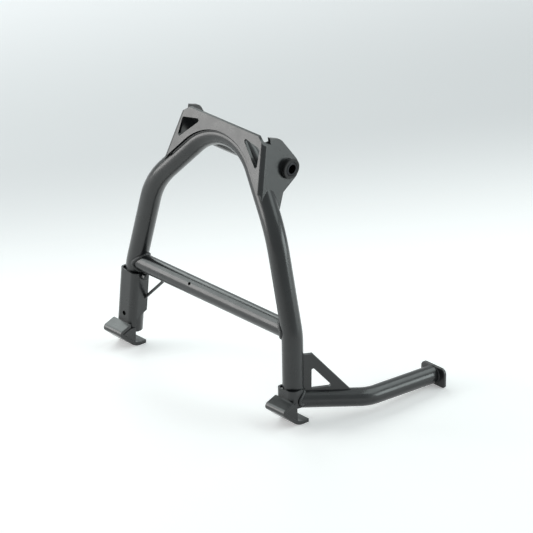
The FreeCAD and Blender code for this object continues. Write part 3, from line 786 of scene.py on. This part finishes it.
def bead_mesh(bm, points, closed, radius):
    """A weld bead along a line: a round section that swells and falls with each ripple."""
    sizes = bpy.context.scene.stand_bead
    line = along_line(points + points[:1] if closed else points, sizes.pitch)
    if closed:
        line = line[:-1]
    rings = []
    count = len(line)
    for i, point in enumerate(line):
        before = line[i - 1] if closed or i else point
        after = line[(i + 1) % count] if closed or i < count - 1 else point
        thickness = 1 + sizes.ripple * (1 - 2 * (i % RIPPLE_RINGS) / RIPPLE_RINGS)
        if not closed:
            thickness *= min(1.0, TAPER_START + TAPER_GAIN * min(i, count - 1 - i))
        heading = (after - before).normalized()
        rings.append(ring_edges(bm, point, heading, radius * thickness, BEAD_CIRCLE_SIDES))
    pairs = list(zip(rings, rings[1:]))
    if closed:
        pairs.append((rings[-1], rings[0]))
    for first, second in pairs:
        bmesh.ops.bridge_loops(bm, edges=first + second)
    if not closed:
        for end in (rings[0], rings[-1]):
            bmesh.ops.contextual_create(bm, geom=end)


def bead_piece(name, seam, closed, radius, nodes=()):
    """A weld bead as a piece."""
    bm = bmesh.new()
    bead_mesh(bm, seam, closed, radius)
    piece = finished_piece(name, bm, STAND, weld_paint(), BEAD_SHARP)
    if nodes:
        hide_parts(*nodes)


def around(centre, direction, radius):
    """Points of a circle square to a direction, one for each ray."""
    turn = square_to(centre, direction)
    angles = [2 * math.pi * i / SEAM_RAYS for i in range(SEAM_RAYS)]
    return [turn @ Vector((radius * math.cos(a), radius * math.sin(a), 0)) for a in angles]


def bar_beads(scene, leg):
    """Beads round the crossbar's ends."""
    radius = scene.stand_bead.radius
    middle = place(0, 0, scene.stand_bar.height)
    reach = scene.stand_bar.diameter / 2 + radius * BAR_BEAD_SEAT
    for side, sign in SIDES:
        start = middle + Vector((sign * BAR_RAY_START, 0, 0))
        circle = around(start, Vector((1, 0, 0)), reach)
        proud = Vector((sign * radius * BAR_BEAD_PROUD, 0, 0))
        seam = [hit(leg, point, Vector((sign, 0, 0))) - proud for point in circle]
        bead_piece("crossbar_bead_" + side, seam, True, radius)


def pivot_beads(scene):
    """Beads between the pivot tube and the cheeks."""
    radius = scene.stand_bead.radius
    cheeks = skin_of("bridge_plate")
    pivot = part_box("pivot_tube")[1].z
    for side, sign in SIDES:
        start = Vector((sign * PIVOT_RAY_START, 0, 0))
        circle = around(start, Vector((1, 0, 0)), pivot + radius * BEAD_SEAT)
        seam = [hit(cheeks, point, Vector((sign, 0, 0))) for point in circle]
        bead_piece("pivot_bead_" + side, seam, True, radius, ["weld_pivot_" + side])


def lever_bead(scene, leg):
    """Bead round the lever's root, no lower than the leg's open end."""
    radius = scene.stand_bead.radius
    root, knee, _ = lever_corners()
    heading = (knee - root).normalized()
    reach = scene.stand_lever.diameter / 2 + radius * BEAD_SEAT
    circle = around(root + heading * LEVER_RAY_START, heading, reach)
    lowest = place(0, 0, scene.stand_arch.end_height + radius / 2).z
    for point in circle:
        point.z = max(point.z, lowest)
    seam = [hit(leg, point, -heading) for point in circle]
    bead_piece("lever_bead", seam, True, radius, ["weld_lever"])


def pad_bead(scene):
    """Bead round the lever's end on the pad."""
    _, knee, end = lever_corners()
    heading = (end - knee).normalized()
    pad = skin_of("lever_pad")
    circle = around(end - heading * PAD_RAY_START, heading, scene.stand_lever.diameter / 2)
    seam = [hit(pad, point, heading) for point in circle]
    bead_piece("pad_bead", seam, True, scene.stand_bead.pad_radius, ["weld_pad"])


def bridge_line(scene):
    """Points over the arched lower edge of the bridge's front plate."""
    s = scene.stand_arch
    apex = crown_apex()
    rise_in_plane = BRIDGE_SEAM_RISE * math.hypot(1, apex / s.shoulder_spread)
    low = apex * (1 - BRIDGE_SEAM_REACH / s.shoulder_spread) + rise_in_plane
    left = crown_point(-BRIDGE_SEAM_REACH, low)
    top = crown_point(0, apex + rise_in_plane)
    right = crown_point(BRIDGE_SEAM_REACH, low)
    enter, leave, centre, axis, angle = bend_at(
        left, top, right, s.crown_radius + BRIDGE_SEAM_RISE)
    line = [left.lerp(enter, i / STRAIGHT_POINTS) for i in range(STRAIGHT_POINTS)]
    for i in range(CURVE_POINTS + 1):
        turn = Matrix.Rotation(angle * i / CURVE_POINTS, 3, axis)
        line.append(centre + turn @ (enter - centre))
    line += [leave.lerp(right, i / STRAIGHT_POINTS) for i in range(1, STRAIGHT_POINTS + 1)]
    return line


def bridge_bead(scene, leg):
    """Bead along the arched lower edge of the bridge's front plate."""
    out = crown_out()
    seam = [hit(leg, point + out * BRIDGE_RAY_START, -out) for point in bridge_line(scene)]
    bead_piece("bridge_bead", seam, False, scene.stand_bead.fine_radius, ["weld_bridge"])


class STAND_OT_welds(bpy.types.Operator):
    """Lay the rippled weld beads"""
    bl_idname = "stand.welds"
    bl_label = "Weld beads"

    def execute(self, context):
        leg = skin_of("arch_tube")
        bar_beads(context.scene, leg)
        pivot_beads(context.scene)
        lever_bead(context.scene, leg)
        pad_bead(context.scene)
        bridge_bead(context.scene, leg)
        return {"FINISHED"}


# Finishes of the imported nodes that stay

class STAND_OT_finishes(bpy.types.Operator):
    """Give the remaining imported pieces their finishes"""
    bl_idname = "stand.finishes"
    bl_label = "Finishes"

    def execute(self, context):
        for node in ("pivot_tube", "spring_peg", "brace_rod"):
            dress(node, plate_paint())
        for node in ("pivot_bush_right", "pivot_bush_left"):
            dress(node, bush_liner())
        dress("pivot_sleeve", turned_steel())
        return {"FINISHED"}


# Studio

# Each lamp's place, width, height and tint. StudioLook holds its power.
LAMPS = {
    "key": ((-2.0, -2.2, 0.55), 1.8, 1.6, (1.0, 0.99, 0.975)),
    "side": ((-1.75, -0.05, 1.30), 3.2, 1.2, (0.92, 1.0, 0.985)),
    "rear": ((1.0, 1.75, 1.95), 3.2, 1.2, (0.90, 1.0, 0.99)),
    "fill": ((2.1, 1.75, 0.35), 1.6, 1.0, (0.90, 1.0, 0.99)),
}
SURROUNDINGS = (0.88, 0.95, 0.955, 1)

# A place's depth on the floor is its product with this direction away from the camera.
# The near colour turns to the darker far one, painted shade, between two depths, and a glow
# grows between two more.
AWAY = (-1.35, 0.65, 0)
PAINTED_SHADE_DEPTHS = {"low": 0.15, "high": 1.1}
GLOW_DEPTHS = {"low": 1.2, "high": 3.0}
GLOWS = {"to_low": 0.31, "to_high": 1.0}
FLOOR_HALF_WIDTH = 9.0
FLOOR_ROUGHNESS = 0.9

CAMERA_SENSOR = 36.0
CAMERA_SHIFT_X = 0.0566
CAMERA_SHIFT_Y = -0.0265
CAMERA_CLIP_END = 50.0
CAMERA_TARGET_BACK = 0.040
CAMERA_TARGET_HEIGHT = 0.165


def area_lamp(name, target, power):
    """A soft rectangular lamp that faces a point."""
    where, width, height, tint = LAMPS[name]
    data = bpy.data.lights.new(name, "AREA")
    data.shape = "RECTANGLE"
    data.size = width
    data.size_y = height
    data.energy = power
    data.color = tint
    lamp = bpy.data.objects.new(name, data)
    lamp.location = where
    lamp.rotation_euler = (target - lamp.location).to_track_quat("-Z", "Y").to_euler()
    bpy.context.scene.collection.objects.link(lamp)


def seen_or_mirrored(tree):
    """One for what the camera sees straight, mirrored or through glass, zero for light."""
    path = tree.nodes.new("ShaderNodeLightPath")
    share = path.outputs["Is Camera Ray"]
    for ray in ("Is Glossy Ray", "Is Transmission Ray"):
        either = tree.nodes.new("ShaderNodeMath")
        either.operation = "MAXIMUM"
        tree.links.new(share, either.inputs[0])
        tree.links.new(path.outputs[ray], either.inputs[1])
        share = either.outputs["Value"]
    return share


def floor_material(look):
    """Pale floor that takes light and shadow, turns darker far behind the stand as painted
    shade, and glows for the camera and in reflections.
    """
    material, tree, shader = new_material("pale_floor")
    product = tree.nodes.new("ShaderNodeVectorMath")
    product.operation = "DOT_PRODUCT"
    product.inputs[1].default_value = AWAY
    tree.links.new(own_coordinates(tree), product.inputs[0])
    depth = product.outputs["Value"]
    # Painted shade: the floor's colour turns from the near one to the darker far one away from
    # the camera.
    share = mapped(tree, depth, **PAINTED_SHADE_DEPTHS, interpolation="SMOOTHSTEP")
    tone = two_tones(tree, share, look.floor, look.far_floor_painted_shade)
    tree.links.new(tone, shader.inputs["Base Color"])
    shader.inputs["Roughness"].default_value = FLOOR_ROUGHNESS
    shader.inputs["Specular IOR Level"].default_value = 0.0
    glow = mapped(tree, depth, **GLOW_DEPTHS, **GLOWS, interpolation="SMOOTHSTEP")
    strength = tree.nodes.new("ShaderNodeMath")
    strength.operation = "MULTIPLY"
    tree.links.new(glow, strength.inputs[0])
    tree.links.new(seen_or_mirrored(tree), strength.inputs[1])
    tree.links.new(tone, shader.inputs["Emission Color"])
    tree.links.new(strength.outputs["Value"], shader.inputs["Emission Strength"])
    return material


def make_floor(look):
    """A broad floor under the stand."""
    bm = bmesh.new()
    bmesh.ops.create_grid(
        bm, x_segments=1, y_segments=1, size=FLOOR_HALF_WIDTH,
        matrix=Matrix.Translation((0, 0, FLOOR)))
    floor = object_from(bm, "floor")
    floor.data.materials.append(floor_material(look))


def make_surroundings(look):
    """Surroundings that look brighter than the light they give."""
    world = bpy.data.worlds.new("surroundings")
    world.use_nodes = True
    tree = world.node_tree
    back = tree.nodes["Background"]
    back.inputs["Color"].default_value = SURROUNDINGS
    strength = mapped(
        tree, seen_or_mirrored(tree), low=0, high=1, to_low=look.world, to_high=look.backdrop)
    tree.links.new(strength, back.inputs["Strength"])
    bpy.context.scene.world = world


def make_camera(look):
    """The camera that took the photograph."""
    data = bpy.data.cameras.new("photo_camera")
    data.sensor_width = CAMERA_SENSOR
    data.lens = look.lens
    data.clip_end = CAMERA_CLIP_END
    data.shift_x = CAMERA_SHIFT_X
    data.shift_y = CAMERA_SHIFT_Y
    camera = bpy.data.objects.new("photo_camera", data)
    flat = math.cos(look.elevation)
    back_off = Vector((
        math.sin(look.azimuth) * flat, -math.cos(look.azimuth) * flat, math.sin(look.elevation)))
    target = place(0, CAMERA_TARGET_BACK, CAMERA_TARGET_HEIGHT)
    camera.location = target + back_off * look.distance
    camera.rotation_euler = (-back_off).to_track_quat("-Z", "Y").to_euler()
    bpy.context.scene.collection.objects.link(camera)
    bpy.context.scene.camera = camera


class STAND_OT_studio(bpy.types.Operator):
    """Set up the floor, the lamps, the surroundings and the camera"""
    bl_idname = "stand.studio"
    bl_label = "Studio"

    def execute(self, context):
        look = context.scene.stand_studio
        make_floor(look)
        middle = Vector((0, 0, FLOOR / 2))
        for name in LAMPS:
            area_lamp(name, middle, getattr(look, name))
        make_surroundings(look)
        make_camera(look)
        context.scene.view_settings.view_transform = "Standard"
        return {"FINISHED"}


# Panel and registration

OPERATORS = (
    STAND_OT_arch, STAND_OT_lever, STAND_OT_bar, STAND_OT_plates, STAND_OT_welds,
    STAND_OT_finishes, STAND_OT_studio)


class STAND_PT_panel(bpy.types.Panel):
    """Steps and sizes of the centre stand"""
    bl_idname = "STAND_PT_panel"
    bl_label = "Centre stand"
    bl_space_type = "VIEW_3D"
    bl_region_type = "UI"
    bl_category = "Centre stand"

    def draw(self, context):
        for operator in OPERATORS:
            self.layout.operator(operator.bl_idname)
        for group in GROUPS:
            box = self.layout.box()
            settings = getattr(context.scene, group)
            for name in settings.__annotations__:
                box.prop(settings, name)


def register():
    """Registers the settings, the steps and the panel."""
    for name, group in GROUPS.items():
        bpy.utils.register_class(group)
        setattr(bpy.types.Scene, name, PointerProperty(type=group))
    for made_class in OPERATORS + (STAND_PT_panel,):
        bpy.utils.register_class(made_class)


def unregister():
    """Removes what register added."""
    for made_class in reversed(OPERATORS + (STAND_PT_panel,)):
        bpy.utils.unregister_class(made_class)
    for name, group in GROUPS.items():
        delattr(bpy.types.Scene, name)
        bpy.utils.unregister_class(group)


def main():
    """Runs every step in order."""
    register()
    bpy.ops.stand.arch()
    bpy.ops.stand.lever()
    bpy.ops.stand.bar()
    bpy.ops.stand.plates()
    bpy.ops.stand.welds()
    bpy.ops.stand.finishes()
    bpy.ops.stand.studio()


if __name__ == "__main__":
    main()
